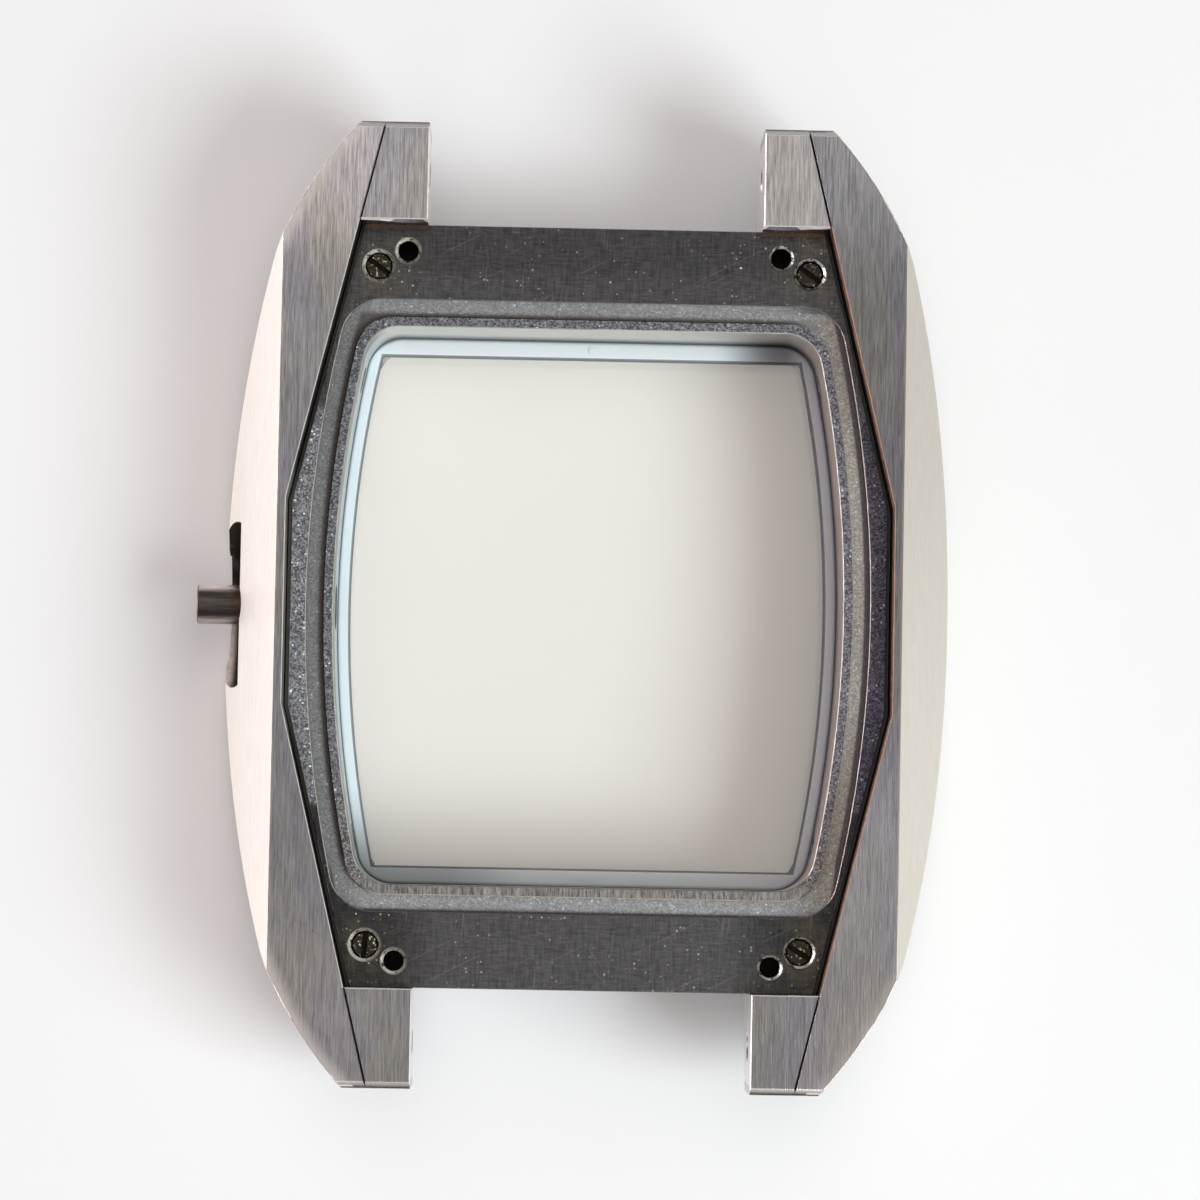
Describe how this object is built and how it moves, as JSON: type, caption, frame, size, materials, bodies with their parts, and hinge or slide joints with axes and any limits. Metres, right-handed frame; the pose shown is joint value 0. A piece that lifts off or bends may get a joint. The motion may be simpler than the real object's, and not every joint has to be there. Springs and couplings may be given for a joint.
{
  "type": "empty watch case",
  "caption": "Barrel-shaped steel watch case with separate side flanks, seen without back cover, movement, crown and strap: open body, bezel, crystal, seals and screws.",
  "frame": {"origin": "centre of the crystal's flat front face, which the open case lies on", "axes": "+Z from the crystal to the back, +Y along the case from lug to lug, -X towards the crown tube"},
  "size_m": [0.0411, 0.0516, 0.011],
  "materials": {
    "body_steel": "lengthwise brushed lugs, dark machined ledge, bead-blasted channel",
    "flank_steel": "lengthwise brushed",
    "bezel_steel": "brushed, polished edges",
    "crystal_glass": "polished, clear",
    "pale_gasket": "satin, milky",
    "black_seal": "matt",
    "tube_steel": "turned",
    "screw_steel": "dark, slightly oxidised",
    "pin_steel": "ground"
  },
  "bodies": {
    "case": {"case_body": "body_steel", "crown_side_flank": "flank_steel", "plain_side_flank": "flank_steel", "bezel": "bezel_steel", "crystal": "crystal_glass", "crystal_gasket": "pale_gasket", "bezel_gasket": "black_seal", "crown_tube": "tube_steel", "crown_tube_seal": "black_seal", "flank_screw_crown_upper": "screw_steel", "flank_screw_crown_lower": "screw_steel", "flank_screw_plain_upper": "screw_steel", "flank_screw_plain_lower": "screw_steel", "flank_pin_crown_upper": "pin_steel", "flank_pin_crown_lower": "pin_steel", "flank_pin_plain_upper": "pin_steel", "flank_pin_plain_lower": "pin_steel"},
    "bezel_screw_upper_left": {"bezel_screw_upper_left": "screw_steel"},
    "bezel_screw_upper_right": {"bezel_screw_upper_right": "screw_steel"},
    "bezel_screw_lower_left": {"bezel_screw_lower_left": "screw_steel"},
    "bezel_screw_lower_right": {"bezel_screw_lower_right": "screw_steel"}
  },
  "joints": [
    {"name": "bezel_screw_upper_left_travel", "type": "slide", "parent": "case", "child": "bezel_screw_upper_left", "axis": [0, 0, 1], "range_m": [0, 0.00265]},
    {"name": "bezel_screw_upper_right_travel", "type": "slide", "parent": "case", "child": "bezel_screw_upper_right", "axis": [0, 0, 1], "range_m": [0, 0.00265]},
    {"name": "bezel_screw_lower_left_travel", "type": "slide", "parent": "case", "child": "bezel_screw_lower_left", "axis": [0, 0, 1], "range_m": [0, 0.00265]},
    {"name": "bezel_screw_lower_right_travel", "type": "slide", "parent": "case", "child": "bezel_screw_lower_right", "axis": [0, 0, 1], "range_m": [0, 0.00265]}
  ]
}
